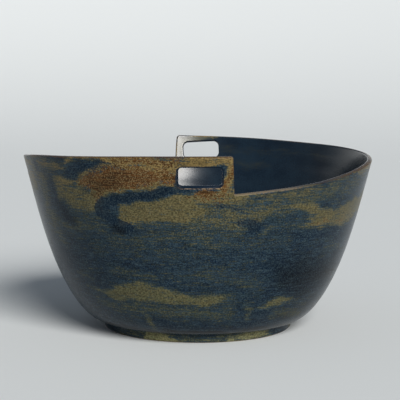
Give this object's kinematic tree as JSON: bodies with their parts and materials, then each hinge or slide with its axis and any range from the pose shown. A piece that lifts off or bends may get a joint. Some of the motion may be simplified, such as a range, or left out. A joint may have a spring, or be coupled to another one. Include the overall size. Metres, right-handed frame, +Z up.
{
  "type": "decorative bowl",
  "caption": "Thin-walled round bowl on a low foot ring, with a rim that falls in spiral half turns to upright steps and a small rounded slot through the wall beside each step.",
  "frame": {"origin": "on the bowl's axis at the level of the foot ring's underside, where it stands", "axes": "+Z up along the bowl's axis, -Y towards the front step, which is seen beside the front slot, +X to the right of it"},
  "size_m": [0.2021, 0.205, 0.1067],
  "materials": {
    "glaze": "satin, mottled navy and olive"
  },
  "bodies": {
    "root": {"bowl": "glaze"}
  },
  "joints": []
}
